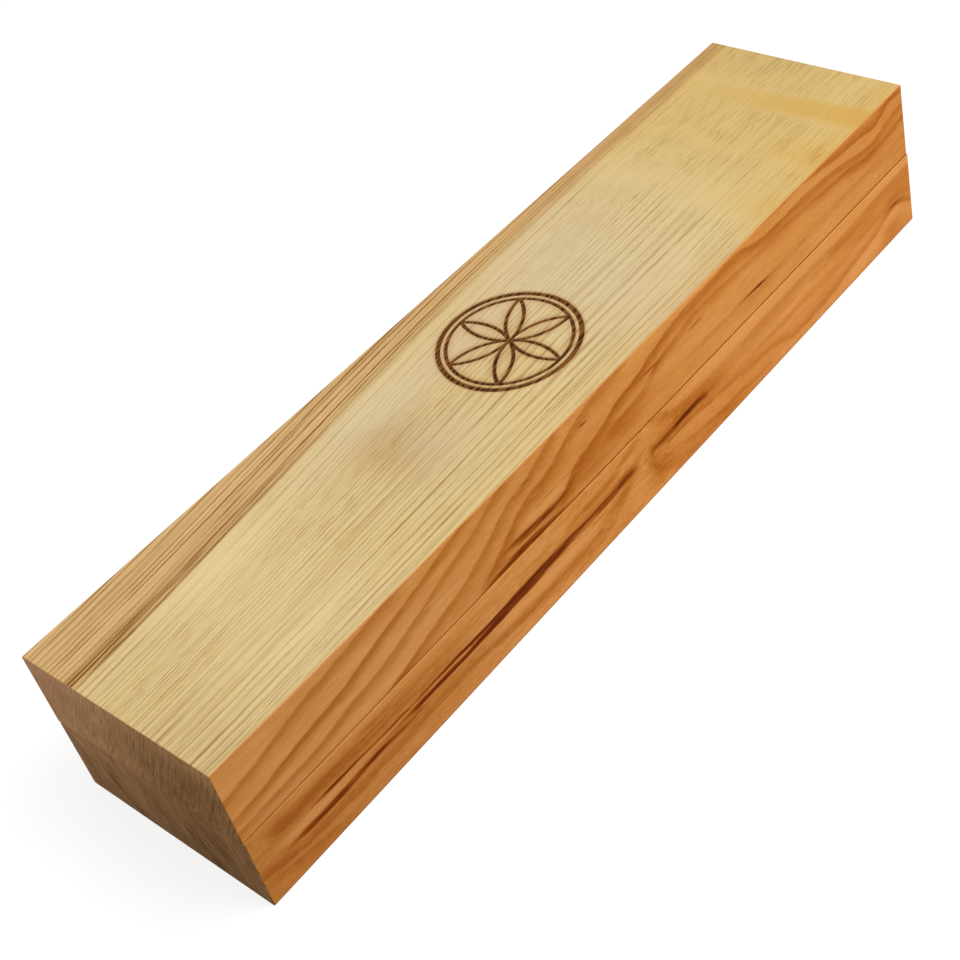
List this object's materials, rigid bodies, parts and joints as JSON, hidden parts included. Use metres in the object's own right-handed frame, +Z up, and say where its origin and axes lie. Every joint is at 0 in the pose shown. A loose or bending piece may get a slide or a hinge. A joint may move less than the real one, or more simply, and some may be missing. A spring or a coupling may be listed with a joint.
{
  "type": "knife display case",
  "caption": "Hinged solid-wood presentation case: two milled ash halves, butt hinges at the rear, rim magnets, and a foam nest cut to a sheath knife's outline.",
  "frame": {"origin": "centre of the base's underside", "axes": "+X along the case's length, -Y the front that opens, +Y the hinge side, +Z up through the lid"},
  "size_m": [0.322, 0.0806, 0.055],
  "materials": {
    "ash": "smooth sanded and oiled, satin",
    "foam": "matt closed-cell foam",
    "brass": "satin, lightly brushed",
    "nickel": "bright nickel plate"
  },
  "bodies": {
    "base": {"base_block": "ash", "base_magnet_left": "nickel", "base_magnet_right": "nickel", "nest_floor": "foam", "knife_nest": "foam", "hinge_left_pin": "brass", "hinge_left_base_leaf": "brass", "hinge_left_base_screw_1": "brass", "hinge_left_base_screw_2": "brass", "hinge_right_pin": "brass", "hinge_right_base_leaf": "brass", "hinge_right_base_screw_1": "brass", "hinge_right_base_screw_2": "brass"},
    "lid": {"lid_block": "ash", "lid_magnet_left": "nickel", "lid_magnet_right": "nickel", "lid_pad": "foam", "hinge_left_lid_leaf": "brass", "hinge_left_lid_screw_1": "brass", "hinge_left_lid_screw_2": "brass", "hinge_right_lid_leaf": "brass", "hinge_right_lid_screw_1": "brass", "hinge_right_lid_screw_2": "brass"}
  },
  "joints": [
    {"name": "lid_hinge", "type": "hinge", "parent": "base", "child": "lid", "pos_m": [0, 0.04067, 0.0275], "axis": [-1, 0, 0], "range_deg": [0, 180]}
  ]
}
